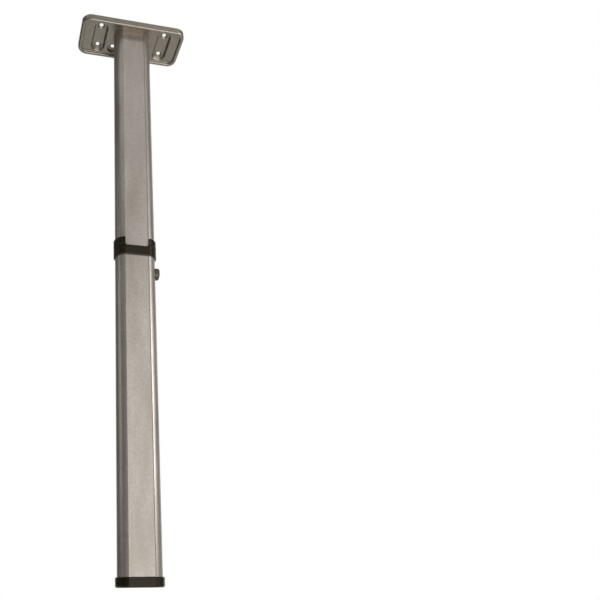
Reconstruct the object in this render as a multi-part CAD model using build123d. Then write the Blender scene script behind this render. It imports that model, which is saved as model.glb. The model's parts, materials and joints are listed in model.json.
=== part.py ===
from build123d import *
import math
import os

os.makedirs("parts", exist_ok=True)

# A folding table leg in millimetres. The table's underside is the plane Z 0 and the leg hangs down from it.
# X runs along the wide side of the tube, which is also the direction of the knee's axis.
# The lower half folds up towards +Y. Pieces are drawn round the tube's centre line and saved with the
# centre of the plate's four main screw holes at the origin.

leg_height = 700.0
knee_z = -319.5
foot_z = -leg_height

# Extruded tube: two round lobes with a sunk flat band on each wide side between them.
tube_w = 47.3
tube_d = 27.0
band_half = 14.0
band_y = 12.0
wall = 1.8

# Mounting plate: a stamping whose edge is drawn down into a bead and back up to the table. The web hangs
# clear of the table, and pockets pressed up through it bring the screw holes into contact.
plate_l = 136.0
plate_w = 60.0
plate_y = 5.2
plate_corner = 12.0
sheet = 1.8
web_top = -3.2
rim_depth = 8.0
bead = 5.0
hole_x = 42.2
hole_half_y = 15.8
extra_x = 21.6
pocket_w = 18.5
pocket_end = 7.7
pocket_corner = 8.0
pocket_taper = 38.0
round_pocket = 15.0
round_taper = 25.0
screw_hole = 5.0

# Knee: pivot height above the end face of the upper tube and its offset towards the fold side.
pivot_h = 29.0
pivot_y = 5.0
pin_r = 3.0
link_half = 9.5
link_wall = 2.2
link_front = -7.5
link_back = 9.5
link_tail = 84.0
bracket_half = 12.9
bracket_wall = 2.4
bracket_top = 62.0
opening_half = 11.2
opening_top = 34.4
collar_wall = 1.8
upper_collar_h = 9.8
lower_collar_h = 12.5
collar_band = 14.4
end_plate = 2.5
knee_gap = 0.2

# Lock: the button goes in along X and a 45 degree wedge on its stem draws the bolt down.
button_z = knee_z - 29.5
button_r = 7.0
button_out = 29.3
crown_r = 16.0
travel = 4.0
bolt_half = 7.0
bolt_thick = 3.4
bolt_top = 38.5
bolt_bottom = -40.0
guide_z = 18.0

foot_cap_h = 10.2
foot_wall = 1.9
foot_plate = 3.0

pivot_z = knee_z + pivot_h
web_bottom = web_top - sheet


def outline(grow, half=None):
    """Tube's cross-section grown outward by grow. A given half width replaces that of the sunk bands."""
    face = SlotOverall(tube_w + 2 * grow, tube_d + 2 * grow)
    for side in (-1, 1):
        strip = Rectangle(2 * (half or band_half - grow), 40)
        face -= Pos(0, side * (band_y + grow + 20)) * strip
    return face


def prism(face, z_low, z_high):
    """Solid of a face between two heights."""
    return Pos(0, 0, z_low) * extrude(face, amount=z_high - z_low)


def block(x0, x1, y0, y1, z0, z1):
    """Box between two corners."""
    centre = Pos((x0 + x1) / 2, (y0 + y1) / 2, (z0 + z1) / 2)
    return centre * Box(x1 - x0, y1 - y0, z1 - z0)


def rod_x(radius, x0, x1, y, z):
    """Round bar along X."""
    return Pos((x0 + x1) / 2, y, z) * Rot(0, 90, 0) * Cylinder(radius, x1 - x0)


def rod_y(radius, y0, y1, x, z):
    """Round bar along Y."""
    return Pos(x, (y0 + y1) / 2, z) * Rot(90, 0, 0) * Cylinder(radius, y1 - y0)


def cone_z(r_low, r_high, x, y, z_low, z_high):
    """Cone frustum along Z."""
    height = z_high - z_low
    return Pos(x, y, (z_low + z_high) / 2) * Cone(r_low, r_high, height)


def blind_rivet(x, z, depth):
    """Rivet through the back wall: shank inward and a low domed head in the sunk band."""
    shank = rod_y(2.0, band_y - depth, band_y, x, z)
    head = rod_y(3.6, band_y, band_y + 1.1, x, z)
    rim = head.edges().group_by(Axis.Y)[-1]
    return shank + fillet(rim, 0.7)


def channel(half, front, back, thick, z_low, z_high, bend):
    """Bent sheet channel, closed at the front and open towards +Y."""
    outer = Pos(0, (front + back) / 2) * Rectangle(2 * half, back - front)
    corners = outer.vertices().group_by(Axis.Y)[0]
    outer = fillet(corners, bend)
    inner = Pos(0, (front + thick + back + 5) / 2)
    inner = inner * Rectangle(2 * (half - thick), back + 5 - front - thick)
    inner_corners = inner.vertices().group_by(Axis.Y)[0]
    inner = fillet(inner_corners, max(bend - thick, 0.4))
    return prism(outer - inner, z_low, z_high)


def save(name, *solids):
    """Writes one node, moved from the tube's centre line to the plate's centre."""
    moved = [Pos(0, -plate_y, 0) * solid for solid in solids]
    shape = moved[0] if len(moved) == 1 else Compound(children=moved)
    shape.label = name
    export_step(shape, "parts/" + name + ".step")


def plate_outline(inset):
    """Rounded outline of the plate, drawn in by inset."""
    return Pos(0, plate_y) * RectangleRounded(
        plate_l - 2 * inset, plate_w - 2 * inset, plate_corner - inset
    )


def pressing(side, grow):
    """Faces of the long and the round pocket on one side of the plate, grown by grow."""
    length = 2 * (hole_half_y + pocket_end + grow)
    long_face = RectangleRounded(pocket_w + 2 * grow, length, pocket_corner + grow)
    round_face = Circle(round_pocket / 2 + grow)
    return (
        Pos(side * hole_x, plate_y) * long_face,
        Pos(side * extra_x, plate_y + hole_half_y) * round_face,
    )


def pressed_up(grow_long, grow_round, z_low):
    """The four pockets as solids that narrow upward from z_low by the height they are pressed."""
    shapes = []
    for side in (-1, 1):
        long_face = pressing(side, grow_long)[0]
        round_face = pressing(side, grow_round)[1]
        shapes.append(extrude(long_face, amount=-web_top, taper=pocket_taper))
        shapes.append(extrude(round_face, amount=-web_top, taper=round_taper))
    return [Pos(0, 0, z_low) * shape for shape in shapes]


# The stamping is one thickness throughout, so the pocket's upper face stands off its lower one by the sheet.
def stand_off(taper):
    return sheet * math.tan(math.radians(45 - taper / 2))


def mounting_plate():
    solid = prism(plate_outline(0), -rim_depth, 0)
    solid -= prism(plate_outline(sheet), web_top, 1)
    groove = plate_outline(sheet) - plate_outline(bead - sheet)
    solid -= prism(groove, sheet - rim_depth, 0)
    for boss in pressed_up(stand_off(pocket_taper), stand_off(round_taper), web_top):
        solid += boss
    punch = prism(plate_outline(bead), -rim_depth - 1, web_bottom)
    for cup in pressed_up(0, 0, web_bottom):
        punch += cup
    rims = punch.edges().filter_by_position(Axis.Z, web_bottom - 0.01, web_bottom + 0.01)
    solid -= fillet(rims, 1.0)
    lip = solid.edges().group_by(Axis.Z)[0]
    solid = fillet(lip, 2.3)
    holes = [(s * hole_x, plate_y + t * hole_half_y) for s in (-1, 1) for t in (-1, 1)]
    holes += [(s * extra_x, plate_y + hole_half_y) for s in (-1, 1)]
    for x, y in holes:
        solid -= Pos(x, y, -1) * Cylinder(screw_hole / 2, 8)
        solid -= cone_z(4.8, screw_hole / 2, x, y, -sheet, -0.2)
    for side in (-1, 1):
        solid -= cone_z(2.9, 5.1, side * 9.0, 0, web_bottom, web_top)
    return solid


save("mounting_plate", mounting_plate())

# Block in the tube's top end, drawn up against the plate by two countersunk screws.
anchor = prism(outline(-wall - 0.05), web_bottom - 30.0, web_bottom)
for side in (-1, 1):
    anchor -= Pos(side * 9.0, 0, web_bottom - 10) * Cylinder(2.5, 24)
anchor -= block(-2.5, 2.5, -6.0, 6.0, web_bottom - 31.0, web_bottom - 8.0)

plate_screws = []
for side in (-1, 1):
    head = cone_z(2.8, 4.85, side * 9.0, 0, web_bottom, web_top - 0.1)
    head -= Pos(side * 9.0, 0, web_top) * extrude(
        RegularPolygon(2.0, 6), amount=-1.4
    )
    shank = Pos(side * 9.0, 0, web_bottom - 9) * Cylinder(2.5, 18)
    tip = shank.edges().group_by(Axis.Z)[0]
    plate_screws.append(head + chamfer(tip, 0.8))
save("plate_screws", *plate_screws)

anchor_rivets = [blind_rivet(side * 6.0, web_bottom - 17.0, 6.5) for side in (-1, 1)]
for rivet in anchor_rivets:
    anchor -= rivet
save("top_anchor", anchor)


# Upper half
def tube(z_low, z_high):
    return prism(outline(0) - outline(-wall), z_low, z_high)


block_rivets = [blind_rivet(side * 5.5, knee_z + 51.0, 6.5) for side in (-1, 1)]
upper_tube = tube(knee_z + end_plate, web_bottom)
upper_tube += block(
    1 - band_half, band_half - 1, -band_y, wall - band_y, knee_z, knee_z + end_plate
)
window = Pos(0, 0, knee_z + opening_top / 2) * Rot(90, 0, 0)
window = window * extrude(
    RectangleRounded(2 * opening_half, opening_top, 4.0), amount=-20
)
window += block(-opening_half, opening_half, 5, 20, knee_z - 1, knee_z + 8)
upper_tube -= window & block(-30, 30, 5, 20, knee_z - 1, knee_z + 60)
for rivet in anchor_rivets + block_rivets:
    upper_tube -= rivet
save("upper_tube", upper_tube)
save("anchor_rivets", *anchor_rivets)

sleeve = prism(outline(collar_wall, collar_band), knee_z, knee_z + upper_collar_h)
rims = sleeve.edges().group_by(Axis.Z)
sleeve = chamfer(rims[0] + rims[-1], 0.9)
upper_collar = sleeve - prism(outline(0), knee_z + end_plate, knee_z + 20)
upper_collar -= block(-band_half, band_half, -30, wall - band_y, knee_z - 1, knee_z + 30)
upper_collar -= block(-opening_half, opening_half, -8.3, 30, knee_z - 1, knee_z + 30)
relief = Plane.YZ.offset(-40) * make_face(
    Polyline(
        (pivot_y, knee_z - 1),
        (pivot_y, knee_z + 0.1),
        (20, knee_z + 2.9),
        (20, knee_z - 1),
        close=True,
    )
)
upper_collar -= extrude(relief, amount=80, dir=(1, 0, 0))
save("upper_collar", upper_collar)

bracket = channel(
    bracket_half,
    wall - band_y,
    9.8,
    bracket_wall,
    knee_z + end_plate,
    knee_z + bracket_top,
    2.6,
)
bracket_corners = bracket.edges().filter_by(Axis.X).group_by(Axis.Y)[-1]
bracket = fillet(bracket_corners, 4.0)
bracket -= rod_x(pin_r + 0.02, -20, 20, pivot_y, pivot_z)
block_pins = [
    rod_x(2.0, -bracket_half, bracket_half, y, knee_z + 56.0) for y in (-4.0, 4.5)
]
strike = block(-10.4, 10.4, -7.3, 10.1, knee_z + 42.2, knee_z + 60.0)
strike -= block(-7.4, 7.4, -2.0, 2.0, knee_z + 42.0, knee_z + 47.0)
for pin in block_pins:
    bracket -= pin
    strike -= pin
for rivet in block_rivets:
    strike -= rivet
save("upper_bracket", bracket)
save("strike_block", strike)
save("block_pins", *block_pins)
save("block_rivets", *block_rivets)

# Pivot of the knee
hinge_pin = rod_x(pin_r, -14.6, 14.6, pivot_y, pivot_z)
pin_ends = hinge_pin.edges().group_by(Axis.X)
hinge_pin = chamfer(pin_ends[0] + pin_ends[-1], 0.5)
clips = []
washers = []
for side in (-1, 1):
    x0 = side * 13.0
    x1 = side * 13.8
    low = min(x0, x1)
    high = max(x0, x1)
    hinge_pin -= rod_x(4.0, low, high, pivot_y, pivot_z) - rod_x(
        2.5, low, high, pivot_y, pivot_z
    )
    clip = rod_x(4.9, low, high, pivot_y, pivot_z)
    clip -= rod_x(2.5, low, high, pivot_y, pivot_z)
    clip -= block(low - 1, high + 1, pivot_y - 9, pivot_y, pivot_z - 1.6, pivot_z + 1.6)
    clips.append(clip)
    low = min(side * 9.6, side * 10.4)
    washer = rod_x(4.9, low, low + 0.8, pivot_y, pivot_z)
    washer -= rod_x(pin_r + 0.05, low, low + 0.8, pivot_y, pivot_z)
    washers.append(washer)
save("hinge_pin", hinge_pin)
save("pin_clips", *clips)
save("hinge_washers", *washers)

# Link: a channel fixed in the lower half, its round end turning on the pivot.
link = channel(
    link_half,
    link_front,
    link_back,
    link_wall,
    knee_z - link_tail,
    pivot_z + 20,
    2.4,
)
end_r = pivot_y - link_front
above = block(-20, 20, -30, 30, pivot_z, pivot_z + 40)
link -= above - rod_x(end_r, -20, 20, pivot_y, pivot_z)
link -= rod_x(pin_r + 0.05, -20, 20, pivot_y, pivot_z)
slot_low = knee_z + guide_z - travel - 1.2
slot_high = knee_z + guide_z + 1.2
slot = block(-20, 20, -1.2, 1.2, slot_low + 1.2, slot_high - 1.2)
slot += rod_x(1.2, -20, 20, 0, slot_low + 1.2)
slot += rod_x(1.2, -20, 20, 0, slot_high - 1.2)
link -= slot
link -= block(5, 12, -2.4, 2.4, button_z - 3.5, button_z + 3.7)
link_pins = [rod_x(2.5, -18.5, 18.5, 2.0, knee_z - z) for z in (64.0, 78.0)]
for pin in link_pins:
    link -= pin
save("hinge_link", link)

# Lock bolt with its wedge notch, and the guide pin that runs in the link's slots.
bolt = block(
    -bolt_half,
    bolt_half,
    -bolt_thick / 2,
    bolt_thick / 2,
    knee_z + bolt_bottom,
    knee_z + bolt_top,
)
nose = bolt.edges().filter_by(Axis.X).group_by(Axis.Z)[-1]
bolt = chamfer(nose, 0.8)
notch_face = Plane.XZ * make_face(
    Polyline(
        (8.0, button_z - 5.1),
        (-4.6, button_z + 7.5),
        (8.0, button_z + 7.5),
        close=True,
    )
)
bolt -= extrude(notch_face, amount=10, both=True)
guide_pin = rod_x(1.0, -9.3, 9.3, 0, knee_z + guide_z)
bolt -= guide_pin
spring_seat = knee_z + bolt_bottom
save("lock_bolt", bolt)
save("bolt_guide_pin", guide_pin)


# Release button: a hollow domed cap with a flange that stays behind the tube's wall.
def release_button():
    cap = rod_x(button_r, 14.4, button_out + 1, 0, 0)
    cap &= Pos(button_out - crown_r, 0, 0) * Sphere(crown_r)
    brim = cap.edges().group_by(Axis.X)[-1]
    cap = fillet(brim, 1.3)
    cap += rod_x(button_r + 0.9, 14.4, 16.6, 0, 0)
    cap -= rod_x(5.6, 14.0, 24.0, 0, 0)
    wedge = Polyline(
        (0.5, 3.2), (24.5, 3.2), (24.5, -3.0), (6.05, -3.0), (0.5, 2.55), close=True
    )
    stem = extrude(Plane.XZ * make_face(wedge), amount=2.0, both=True)
    return Pos(0, 0, button_z) * (cap + stem)


save("release_button", release_button())


def coil(radius, wire, length, turns):
    """Compression spring along Z from 0 to length, wire included."""
    rise = length - 2 * wire
    path = Helix(pitch=rise / turns, height=rise, radius=radius)
    start = path @ 0
    ring = Plane(origin=start, z_dir=path % 0) * Circle(wire / 2)
    return Pos(0, 0, wire) * sweep(ring, path=path)


button_spring = coil(4.6, 0.7, 14.2, 5)
button_spring = Pos(9.65, 0, button_z) * Rot(0, 90, 0) * button_spring
save("button_spring", button_spring)
bolt_spring = Pos(0, 0, spring_seat - 16.4) * coil(3.8, 0.8, 16.2, 5)
save("bolt_spring", bolt_spring)

# Guide block that fills the top of the lower tube around the link.
core_top = knee_z - 44.6
insert = prism(outline(-wall - 0.05), knee_z - 92.0, knee_z - knee_gap - end_plate)
insert -= block(-9.6, 9.6, -7.6, 20, core_top, knee_z + 5)
insert -= block(-9.6, -7.0, -7.6, 20, knee_z - link_tail - 0.2, core_top + 1)
insert -= block(7.0, 9.6, -7.6, 20, knee_z - link_tail - 0.2, core_top + 1)
insert -= block(-9.6, 9.6, -7.6, -5.0, knee_z - link_tail - 0.2, core_top + 1)
insert -= Pos(0, 0, knee_z - 50.6) * Cylinder(5.0, 12.8)
insert -= rod_x(button_r + 1.3, 9.0, 17.3, 0, button_z)
insert -= rod_x(button_r + 0.4, 9.0, 30.0, 0, button_z)
for pin in link_pins:
    insert -= pin
insert_rivets = [blind_rivet(0, knee_z - z, 6.0) for z in (71.0, 87.5)]
for rivet in insert_rivets:
    insert -= rivet
save("lower_insert", insert)
save("link_pins", *link_pins)
save("insert_rivets", *insert_rivets)

# Lower half
lower_top = knee_z - knee_gap
lower_tube = tube(foot_z + foot_plate, lower_top - end_plate)
lower_tube -= rod_x(button_r + 0.3, 12, 40, 0, button_z)
for rivet in insert_rivets:
    lower_tube -= rivet
save("lower_tube", lower_tube)

band = prism(outline(collar_wall, collar_band), knee_z - lower_collar_h, lower_top)
band_rims = band.edges().group_by(Axis.Z)
band = chamfer(band_rims[0] + band_rims[-1], 0.9)
lower_collar = band - prism(outline(0), knee_z - 20, lower_top - end_plate)
lower_collar -= block(-9.8, 9.8, -7.8, 9.8, knee_z - 5, knee_z + 5)
save("lower_collar", lower_collar)

cap = prism(outline(foot_wall, collar_band), foot_z, foot_z + foot_cap_h)
cap_rims = cap.edges().group_by(Axis.Z)
cap = chamfer(cap_rims[0], 1.2)
cap_top = cap.edges().group_by(Axis.Z)[-1]
cap = chamfer(cap_top, 0.6)
cap -= prism(outline(0), foot_z + foot_plate, foot_z + 20)
plug = outline(-wall - 0.1) - outline(-wall - 2.1)
cap += prism(plug, foot_z + foot_plate - 0.5, foot_z + 18.0)
save("foot_cap", cap)
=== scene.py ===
# %% [markdown]
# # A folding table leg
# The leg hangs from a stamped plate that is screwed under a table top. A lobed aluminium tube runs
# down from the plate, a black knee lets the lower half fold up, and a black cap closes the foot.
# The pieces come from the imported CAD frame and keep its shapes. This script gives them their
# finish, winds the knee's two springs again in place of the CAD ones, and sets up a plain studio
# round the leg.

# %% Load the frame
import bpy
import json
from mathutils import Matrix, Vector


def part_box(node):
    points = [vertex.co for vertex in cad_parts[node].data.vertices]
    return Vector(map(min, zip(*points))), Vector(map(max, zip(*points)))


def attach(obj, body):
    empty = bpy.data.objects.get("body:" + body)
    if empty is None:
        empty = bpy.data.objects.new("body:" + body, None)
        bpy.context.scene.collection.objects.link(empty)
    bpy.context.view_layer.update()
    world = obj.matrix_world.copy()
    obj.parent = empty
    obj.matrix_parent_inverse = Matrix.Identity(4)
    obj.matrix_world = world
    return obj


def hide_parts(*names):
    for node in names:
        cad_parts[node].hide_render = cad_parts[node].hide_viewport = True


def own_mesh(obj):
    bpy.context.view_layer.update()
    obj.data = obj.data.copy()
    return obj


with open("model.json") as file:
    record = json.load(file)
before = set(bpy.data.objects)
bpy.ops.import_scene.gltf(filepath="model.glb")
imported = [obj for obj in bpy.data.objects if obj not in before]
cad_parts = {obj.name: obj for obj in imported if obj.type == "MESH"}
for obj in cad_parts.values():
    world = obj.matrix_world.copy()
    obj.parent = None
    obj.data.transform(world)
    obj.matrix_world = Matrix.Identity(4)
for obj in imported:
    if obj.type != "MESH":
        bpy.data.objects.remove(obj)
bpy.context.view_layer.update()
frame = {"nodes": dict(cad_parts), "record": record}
print("nodes", sorted(frame["nodes"]))

# %% [markdown]
# ## The unit
# Blender measures in metres, but a maker thinks of a leg like this in millimetres. Every size below
# could be written in thousandths. A name for one millimetre is easier to check against a drawing.

# %% Modules and the unit
import json
import math
import bmesh
import bpy
from mathutils import Matrix, Vector

mm = 0.001
print("a millimetre in Blender's metres", mm)

# %% [markdown]
# ## Colours
# Colours are easier to choose as sRGB hex, which is what a paint chart or a picture gives. The
# shaders work in linear light, where the same grey is a smaller number. It could be looked up for
# each colour. One small function does it for all of them, so the hex values stay readable.

# %% Hex to linear
def linear(hex_colour):
    channels = [int(hex_colour[i:i + 2], 16) / 255 for i in (1, 3, 5)]
    channels = [c / 12.92 if c <= 0.04045 else ((c + 0.055) / 1.055) ** 2.4 for c in channels]
    return (*channels, 1.0)


print("mid grey in linear light", [round(c, 3) for c in linear("#808080")])

# %% [markdown]
# ## Shader nodes in code
# Every finish below is a few nodes: a pattern, a ramp and the main shader. They could be wired by
# hand in the shader editor, but in code the same finish comes back on every run. One function adds
# a node with its settings, fills its sockets by name or number, and links a socket whose value is
# another node's output.

# %% Add a node, start a finish
def add(tree, kind, sockets=None, **settings):
    node = tree.nodes.new(kind)
    for name, value in settings.items():
        setattr(node, name, value)
    for name, value in (sockets or {}).items():
        if isinstance(value, bpy.types.NodeSocket):
            tree.links.new(value, node.inputs[name])
        else:
            node.inputs[name].default_value = value
    return node


def new_finish(name):
    finish = bpy.data.materials.new(name)
    finish.use_nodes = True
    finish.node_tree.nodes.clear()
    return finish, finish.node_tree


print("helpers ready: add, new_finish")

# %% [markdown]
# ## How large a pattern is
# A noise of scale 1 has blobs about one metre wide, so smaller blobs need one divided by their
# size. The scale could be tried out by eye, but then it would fit one view only. A size along the
# leg that differs from the size across it stretches the blobs into lines. All patterns read Object
# coordinates, which are metres here and move with a piece, so nothing slides when the leg folds.

# %% Scale from a size
def scale_for(size):
    return 1 / size


def scales_for(across, along):
    return (scale_for(across), scale_for(across), scale_for(along))


print("blobs of 2 mm need the scale", scale_for(2 * mm))

# %% [markdown]
# ## Satin anodised aluminium
# The tube is an extrusion: metal pushed through a die, which leaves very fine lines along its
# length, then etched and anodised to a warm satin grey. The eye gets a soft sheen and a fine
# speckle from that. A picture of metal could be wrapped round the tube, but it would show a seam
# and its own light. Noises have neither. One is stretched along the leg into die lines, and moves
# the roughness and a very shallow bump. A small speckle times a broad cloud moves the colour. The
# real lines and the real grain of the etching are finer than 0.1 mm. They are drawn 0.6 mm and
# 2.4 mm wide, so that they show.

# %% Extruded aluminium
def extruded_aluminium():
    finish, tree = new_finish("satin_anodised_aluminium")
    place = add(tree, "ShaderNodeTexCoord").outputs["Object"]
    drawn = add(tree, "ShaderNodeMapping", {
        "Vector": place, "Scale": scales_for(across=0.6 * mm, along=200 * mm)}).outputs[0]
    lines = add(tree, "ShaderNodeTexNoise", {
        "Vector": drawn, "Scale": 1.0, "Detail": 3.0, "Roughness": 0.6}).outputs[0]
    broad = add(tree, "ShaderNodeMapping", {
        "Vector": place, "Scale": scales_for(across=18 * mm, along=70 * mm)}).outputs[0]
    cloud = add(tree, "ShaderNodeTexNoise", {
        "Vector": broad, "Scale": 1.0, "Detail": 2.0, "Roughness": 0.5}).outputs[0]
    small = add(tree, "ShaderNodeMapping", {
        "Vector": place, "Scale": scales_for(across=2.4 * mm, along=3.4 * mm)}).outputs[0]
    speckle = add(tree, "ShaderNodeTexNoise", {
        "Vector": small, "Scale": 1.0, "Detail": 3.0, "Roughness": 0.7}).outputs[0]
    etched = add(tree, "ShaderNodeMath", {0: cloud, 1: speckle}, operation="MULTIPLY").outputs[0]
    tone = add(tree, "ShaderNodeValToRGB", {"Fac": etched})
    tone.color_ramp.elements[0].color = linear("#9a9289")
    tone.color_ramp.elements[0].position = 0.1
    tone.color_ramp.elements[1].color = linear("#b2aca5")
    tone.color_ramp.elements[1].position = 0.4
    sheen = add(tree, "ShaderNodeMapRange", {
        "Value": lines, "To Min": 0.32, "To Max": 0.46}).outputs[0]
    bump = add(tree, "ShaderNodeBump", {
        "Height": lines, "Strength": 0.12, "Distance": 0.06 * mm}).outputs[0]
    shader = add(tree, "ShaderNodeBsdfPrincipled", {
        "Base Color": tone.outputs[0], "Metallic": 0.85, "Roughness": sheen, "Normal": bump})
    add(tree, "ShaderNodeOutputMaterial", {"Surface": shader.outputs[0]})
    return finish


tube_finish = extruded_aluminium()
print("made", tube_finish.name)

# %% [markdown]
# ## Stamped plate steel
# The plate is pressed from sheet steel and has a thin satin metallic coat, darker than the tube.
# The coat pulls into a slight orange peel, and the pressing leaves it duller in places. The peel
# could be dents in the mesh, but those would take far too many faces. Both are noises here: blobs
# of 1.6 mm for the peel, which only bend the light through a soft bump, and blobs of 11 mm for the
# mottle in colour and roughness. The rim and the pockets need no help, because the CAD has them as
# real folds of the sheet.

# %% Coated steel
def coated_steel():
    finish, tree = new_finish("coated_plate_steel")
    place = add(tree, "ShaderNodeTexCoord").outputs["Object"]
    peel = add(tree, "ShaderNodeTexNoise", {
        "Vector": place, "Scale": scale_for(1.6 * mm), "Detail": 2.0, "Roughness": 0.5}).outputs[0]
    mottle = add(tree, "ShaderNodeTexNoise", {
        "Vector": place, "Scale": scale_for(11 * mm), "Detail": 4.0, "Roughness": 0.62}).outputs[0]
    tone = add(tree, "ShaderNodeValToRGB", {"Fac": mottle})
    tone.color_ramp.elements[0].color = linear("#7d756a")
    tone.color_ramp.elements[0].position = 0.3
    tone.color_ramp.elements[1].color = linear("#878075")
    tone.color_ramp.elements[1].position = 0.7
    sheen = add(tree, "ShaderNodeMapRange", {
        "Value": mottle, "To Min": 0.26, "To Max": 0.38}).outputs[0]
    bump = add(tree, "ShaderNodeBump", {
        "Height": peel, "Strength": 0.1, "Distance": 0.1 * mm}).outputs[0]
    shader = add(tree, "ShaderNodeBsdfPrincipled", {
        "Base Color": tone.outputs[0], "Metallic": 0.72, "Roughness": sheen, "Normal": bump})
    add(tree, "ShaderNodeOutputMaterial", {"Surface": shader.outputs[0]})
    return finish


plate_finish = coated_steel()
print("made", plate_finish.name)

# %% [markdown]
# ## Moulded plastic
# The knee's collars and the foot are moulded in black plastic, in a mould that was eroded with
# sparks. That leaves a grain of about a third of a millimetre, which only a close view shows, and a
# soft, slightly warm sheen. The grain could be dents in the mesh, but they would take millions of
# faces, so it is a bump. The button is the same plastic in dark grey, and the hinge's washers are
# pale nylon, so one function makes all three. Blobs of 6 mm in colour and roughness are the marks
# of handling.

# %% Grained plastic
def grained_plastic(name, dark, light, smooth, dull, grain, shine):
    finish, tree = new_finish(name)
    place = add(tree, "ShaderNodeTexCoord").outputs["Object"]
    erosion = add(tree, "ShaderNodeTexNoise", {
        "Vector": place, "Scale": scale_for(0.33 * mm), "Detail": 2.0,
        "Roughness": 0.55}).outputs[0]
    handling = add(tree, "ShaderNodeTexNoise", {
        "Vector": place, "Scale": scale_for(6 * mm), "Detail": 3.0, "Roughness": 0.5}).outputs[0]
    tone = add(tree, "ShaderNodeValToRGB", {"Fac": handling})
    tone.color_ramp.elements[0].color = linear(dark)
    tone.color_ramp.elements[1].color = linear(light)
    sheen = add(tree, "ShaderNodeMapRange", {
        "Value": handling, "To Min": smooth, "To Max": dull}).outputs[0]
    bump = add(tree, "ShaderNodeBump", {
        "Height": erosion, "Strength": grain, "Distance": 0.08 * mm}).outputs[0]
    shader = add(tree, "ShaderNodeBsdfPrincipled", {
        "Base Color": tone.outputs[0], "Roughness": sheen, "Specular IOR Level": shine,
        "Specular Tint": linear("#fff0d2"), "Normal": bump})
    add(tree, "ShaderNodeOutputMaterial", {"Surface": shader.outputs[0]})
    return finish


collar_finish = grained_plastic("grained_black_plastic", "#080502", "#0e0a06",
                                smooth=0.24, dull=0.36, grain=0.25, shine=0.4)
button_finish = grained_plastic("smooth_grey_plastic", "#302e29", "#383630",
                                smooth=0.3, dull=0.42, grain=0.12, shine=0.5)
nylon_finish = grained_plastic("natural_nylon", "#d5d2c6", "#dedbd0",
                               smooth=0.4, dull=0.55, grain=0.1, shine=0.5)
print("made", collar_finish.name, button_finish.name, nylon_finish.name)

# %% [markdown]
# ## Bare metals of the knee
# Link, bracket, blocks and bolt are zinc plated steel, which is pale and bright and catches the
# light when the leg is folded. They are cut from rolled stock, so faint lines run along the leg.
# Real ones are finer than 0.1 mm. They are drawn 1.1 mm apart and 25 mm long, so that they show.
# Pins and springs are plain drawn steel, darker and smoother. The rivets are bright aluminium,
# faintly dimpled where their heads were pressed. Each could have a function of its own, but they
# differ only in colour, roughness and grain, so they share one, with full metal and its default
# IOR.

# %% Metals of the small parts
def plain_metal(name, dark, light, grain_scales, smooth, dull, relief):
    finish, tree = new_finish(name)
    place = add(tree, "ShaderNodeTexCoord").outputs["Object"]
    stretched = add(tree, "ShaderNodeMapping", {
        "Vector": place, "Scale": grain_scales}).outputs[0]
    grain = add(tree, "ShaderNodeTexNoise", {
        "Vector": stretched, "Scale": 1.0, "Detail": 3.0, "Roughness": 0.6}).outputs[0]
    tone = add(tree, "ShaderNodeValToRGB", {"Fac": grain})
    tone.color_ramp.elements[0].color = linear(dark)
    tone.color_ramp.elements[1].color = linear(light)
    sheen = add(tree, "ShaderNodeMapRange", {
        "Value": grain, "To Min": smooth, "To Max": dull}).outputs[0]
    bump = add(tree, "ShaderNodeBump", {
        "Height": grain, "Strength": relief, "Distance": 0.05 * mm}).outputs[0]
    shader = add(tree, "ShaderNodeBsdfPrincipled", {
        "Base Color": tone.outputs[0], "Metallic": 1.0, "Roughness": sheen, "Normal": bump})
    add(tree, "ShaderNodeOutputMaterial", {"Surface": shader.outputs[0]})
    return finish


rolled = scales_for(across=1.1 * mm, along=25 * mm)
drawn = scales_for(across=2 * mm, along=2 * mm)
headed = scales_for(across=1.4 * mm, along=1.4 * mm)
plated_finish = plain_metal("zinc_plated_steel", "#cfcdc8", "#dedcd7", rolled,
                            smooth=0.22, dull=0.36, relief=0.12)
drawn_finish = plain_metal("drawn_spring_steel", "#8d8c8a", "#a3a2a0", drawn,
                           smooth=0.2, dull=0.32, relief=0.1)
rivet_finish = plain_metal("bright_rivet_aluminium", "#bdbab6", "#cccac6", headed,
                           smooth=0.26, dull=0.4, relief=0.12)
print("made", plated_finish.name, drawn_finish.name, rivet_finish.name)

# %% [markdown]
# ## Finishes onto the CAD pieces
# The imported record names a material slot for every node. The finishes could be set node by node,
# but one table from slot to finish covers them all, and leaves no node out. The loop puts each
# finish in place of the plain one that came with the frame, and leaves the mesh alone.

# %% Assign
finish_of_slot = {
    "plate_steel": plate_finish,
    "tube_aluminium": tube_finish,
    "black_plastic": collar_finish,
    "grey_plastic": button_finish,
    "white_plastic": nylon_finish,
    "zinc_steel": plated_finish,
    "spring_steel": drawn_finish,
    "rivet_aluminium": rivet_finish,
}
for entry in frame["record"]["subparts"]:
    piece = frame["nodes"][entry["node"]]
    piece.data.materials.clear()
    piece.data.materials.append(finish_of_slot[entry["material_slot"]])

# %% [markdown]
# ## Springs wound again
# One spring pushes the button out, the other pushes the bolt up. Both are wound again here in place
# of the CAD ones, with the same wire, radius and length. A bevelled curve or a Screw modifier would
# also give a coil. The bmesh spin needs only one ring of wire: it turns the ring round Z and lifts
# it a little at each step. The two open ends are filled, and the coil is laid along its axis.


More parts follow.
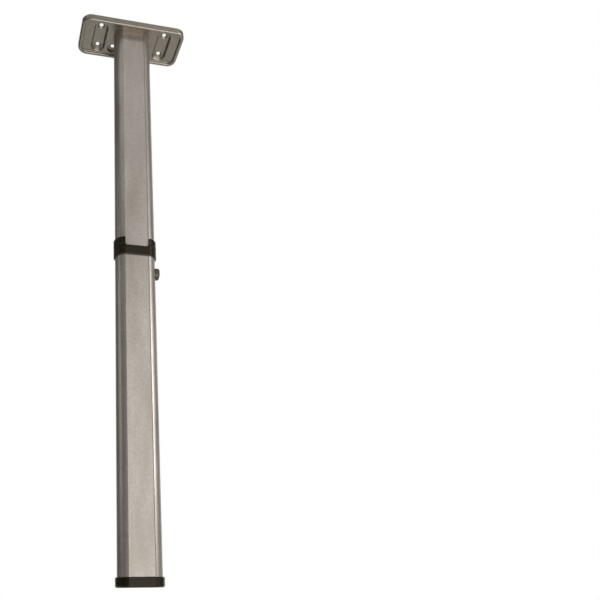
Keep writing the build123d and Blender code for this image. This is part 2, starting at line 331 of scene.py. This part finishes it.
def wind_spring(node, foot, axis, radius, wire, length,
                turns=5, steps_a_turn=24, wire_sides=10):
    coil = bmesh.new()
    ring_place = Matrix.Translation((radius, 0, wire)) @ Matrix.Rotation(math.radians(90), 4, "X")
    bmesh.ops.create_circle(coil, segments=wire_sides, radius=wire / 2, matrix=ring_place)
    steps = turns * steps_a_turn
    lift = (length - 2 * wire) / steps
    bmesh.ops.spin(coil, geom=[*coil.verts, *coil.edges], cent=(0, 0, 0), axis=(0, 0, 1),
                   dvec=(0, 0, lift), angle=math.tau * turns, steps=steps, use_merge=False)
    open_ends = [edge for edge in coil.edges if edge.is_boundary]
    bmesh.ops.holes_fill(coil, edges=open_ends, sides=0)
    bmesh.ops.recalc_face_normals(coil, faces=coil.faces)
    along = Vector((0, 0, 1)).rotation_difference(Vector(axis)).to_matrix().to_4x4()
    bmesh.ops.transform(coil, matrix=Matrix.Translation(foot) @ along, verts=coil.verts)
    mesh = bpy.data.meshes.new(f"wound_{node}")
    coil.to_mesh(mesh)
    coil.free()
    mesh.shade_smooth()
    mesh.materials.append(drawn_finish)
    spring = bpy.data.objects.new(f"wound_{node}", mesh)
    bpy.context.scene.collection.objects.link(spring)
    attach(spring, "lower_half")
    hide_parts(node)
    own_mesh(spring)
    return spring


# %% Both springs
tube_y = -5.2 * mm
springs = {
    "button_spring": wind_spring(
        "button_spring", foot=(9.65 * mm, tube_y, -349.0 * mm), axis=(1, 0, 0),
        radius=4.6 * mm, wire=0.7 * mm, length=14.2 * mm),
    "bolt_spring": wind_spring(
        "bolt_spring", foot=(0, tube_y, -375.9 * mm), axis=(0, 0, 1),
        radius=3.8 * mm, wire=0.8 * mm, length=16.2 * mm),
}
for node, spring in springs.items():
    points = [vert.co for vert in spring.data.vertices]
    corners = [pick(point[i] for point in points) for pick in (min, max) for i in range(3)]
    cad_corners = [*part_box(node)[0], *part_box(node)[1]]
    gap = max(abs(ours - theirs) for ours, theirs in zip(corners, cad_corners))
    print(spring.name, len(spring.data.polygons), "faces, off the CAD box by mm",
          round(gap / mm, 2))

# %% [markdown]
# ## Studio
# The leg is held by its plate, so it hangs clear of the floor. A pale sweep stands behind it: floor
# and wall in one curved sheet, so that no line shows where they meet. A plane with a bevelled fold
# would do. Here the sheet grows from one edge: drawn out for the floor, spun a quarter turn for the
# cove, and drawn up for the wall. It ends 0.9 m to the left of the leg, so that the left lobes
# mirror the dim room beside it.

# %% Sweep
def grow_edge(sheet, edges, step):
    grown = bmesh.ops.extrude_edge_only(sheet, edges=edges)["geom"]
    verts = [part for part in grown if isinstance(part, bmesh.types.BMVert)]
    bmesh.ops.translate(sheet, vec=step, verts=verts)
    new_edges = [part for part in grown if isinstance(part, bmesh.types.BMEdge)]
    return [edge for edge in new_edges if all(vert in verts for vert in edge.verts)]


def studio_sweep(left, right, front_y, wall_y, floor_z, cove, height, cove_steps=24):
    sheet = bmesh.new()
    ends = [sheet.verts.new((x, front_y, floor_z)) for x in (left, right)]
    floor_end = grow_edge(sheet, [sheet.edges.new(ends)], (0, wall_y - cove - front_y, 0))
    turned = bmesh.ops.spin(sheet, geom=floor_end, cent=(0, wall_y - cove, floor_z + cove),
                            axis=(1, 0, 0), angle=math.pi / 2, steps=cove_steps,
                            use_merge=False)["geom_last"]
    wall_foot = [part for part in turned if isinstance(part, bmesh.types.BMEdge)]
    grow_edge(sheet, wall_foot, (0, 0, height))
    bmesh.ops.recalc_face_normals(sheet, faces=sheet.faces)
    mesh = bpy.data.meshes.new("studio_sweep")
    sheet.to_mesh(mesh)
    sheet.free()
    mesh.shade_smooth()
    sweep = bpy.data.objects.new("studio_sweep", mesh)
    bpy.context.scene.collection.objects.link(sweep)
    return sweep


sweep = studio_sweep(left=-0.9, right=4.3, front_y=-3.0, wall_y=2.2, floor_z=-1.02,
                     cove=0.6, height=6.0)
print("sweep faces", len(sweep.data.polygons))

# %% [markdown]
# ## White card
# The sweep is to read as plain white in the picture and in the metal's reflections. More light
# would do that, but it would bleach the leg too. So Light Path picks camera, glossy and
# transmission rays, which get a plain white glow. All other rays see matt grey card, which takes
# the leg's shadow and gives little light back, so the side of the leg away from the lamps stays
# dark.

# %% White card
def white_card():
    card, tree = new_finish("white_studio_card")
    path = add(tree, "ShaderNodeLightPath").outputs
    camera_or_glossy = add(tree, "ShaderNodeMath", {
        0: path["Is Camera Ray"], 1: path["Is Glossy Ray"]}, operation="MAXIMUM").outputs[0]
    seen = add(tree, "ShaderNodeMath", {
        0: camera_or_glossy, 1: path["Is Transmission Ray"]}, operation="MAXIMUM").outputs[0]
    matt = add(tree, "ShaderNodeBsdfDiffuse", {"Color": linear("#8e8e8c")}).outputs[0]
    glow = add(tree, "ShaderNodeEmission", {
        "Color": linear("#ffffff"), "Strength": 1.0}).outputs[0]
    either = add(tree, "ShaderNodeMixShader", {0: seen, 1: matt, 2: glow}).outputs[0]
    add(tree, "ShaderNodeOutputMaterial", {"Surface": either})
    return card


sweep.data.materials.append(white_card())
print("sweep finish", sweep.data.materials[0].name)

# %% [markdown]
# ## The room
# Beside the sweep and behind the camera the metal mirrors the room. A picture of a room would put
# its own shapes on the leg. An even, dim world doesn't, and keeps the shaded side from going black.

# %% The room
room_strength = 0.16
room = bpy.data.worlds.new("even_room")
room.use_nodes = True
background = room.node_tree.nodes["Background"]
background.inputs["Color"].default_value = linear("#fffdfa")
background.inputs["Strength"].default_value = room_strength
bpy.context.scene.world = room
print("room strength", room_strength)

# %% [markdown]
# ## Light
# Metal shows what surrounds it, so each panel stands where one surface mirrors it to the camera. A
# single large window would light the leg too, but soft area lamps can be placed one by one. Two
# wide panels in front, low and high, light the flat bands along the leg, and the gap between them
# is the duller part of the upper tube. High panels on both sides fill the upper lobes. A narrow one
# on the left draws the streak in the lower left lobe, a small bright one on the right the line
# below the knee, and one near the floor lights the underside of the plate and its rim.

# %% Soft panels
def soft_panel(name, place, aim, width, height, watts):
    lamp = bpy.data.lights.new(name, "AREA")
    lamp.shape = "RECTANGLE"
    lamp.size = width
    lamp.size_y = height
    lamp.energy = watts
    panel = bpy.data.objects.new(name, lamp)
    panel.location = place
    panel.rotation_euler = (Vector(aim) - Vector(place)).to_track_quat("-Z", "Y").to_euler()
    bpy.context.scene.collection.objects.link(panel)
    return panel


panels = [
    soft_panel("front_low_panel", place=(0.2, -1.5, -0.05), aim=(0, 0, -0.05),
               width=1.6, height=1.2, watts=4.1),
    soft_panel("front_high_panel", place=(0.2, -1.5, 1.27), aim=(0, 0, 0.6),
               width=1.6, height=0.6, watts=3.2),
    soft_panel("left_high_panel", place=(-1.05, -0.9, 1.22), aim=(0, 0, 0.5),
               width=1.1, height=0.95, watts=2.6),
    soft_panel("right_high_panel", place=(0.95, -0.9, 1.0), aim=(0, 0, 0.4),
               width=0.9, height=1.0, watts=2.2),
    soft_panel("left_streak_panel", place=(-1.3, 0, -0.1), aim=(0, 0, -0.2),
               width=0.36, height=0.8, watts=1.2),
    soft_panel("right_line_panel", place=(0.82, -0.78, -0.2), aim=(0, 0, -0.4),
               width=0.6, height=0.6, watts=8.6),
    soft_panel("floor_panel", place=(0.2, -0.6, -0.99), aim=(0.2, -0.35, 0),
               width=0.6, height=1.1, watts=9.0),
]
print("lamps", [(panel.name, round(panel.data.energy, 1)) for panel in panels])

# %% [markdown]
# ## Camera
# The view is from below and a little to the left of the leg, close enough for its edges to draw
# together upwards. It could be set by eye, but a few pixels of error would show at the plate. So a
# pinhole camera was fitted to the plate's edges and holes, the tube's outline and the knee, and its
# numbers are used here. The leg stands at one side of the frame, so the lens is shifted, and the
# picture's edges stay straight.

# %% Camera
lens_data = bpy.data.cameras.new("view")
lens_data.sensor_width = 36.0
lens_data.lens = 39.41
lens_data.shift_x = 0.2824
lens_data.shift_y = 0.1261
level, pan, look_up, roll = 90, -12.51, 17.86, -0.73
eye = Matrix.Translation((-157.31 * mm, -682.39 * mm, -699.50 * mm))
for degrees, axis in ((pan, "Z"), (level + look_up, "X"), (roll, "Z")):
    eye = eye @ Matrix.Rotation(math.radians(degrees), 4, axis)
camera = bpy.data.objects.new("view", lens_data)
camera.matrix_world = eye
bpy.context.scene.collection.objects.link(camera)
bpy.context.scene.camera = camera
bpy.context.scene.view_settings.view_transform = "Standard"
print("camera at", [round(x, 3) for x in camera.matrix_world.translation],
      "lens", round(lens_data.lens, 2))
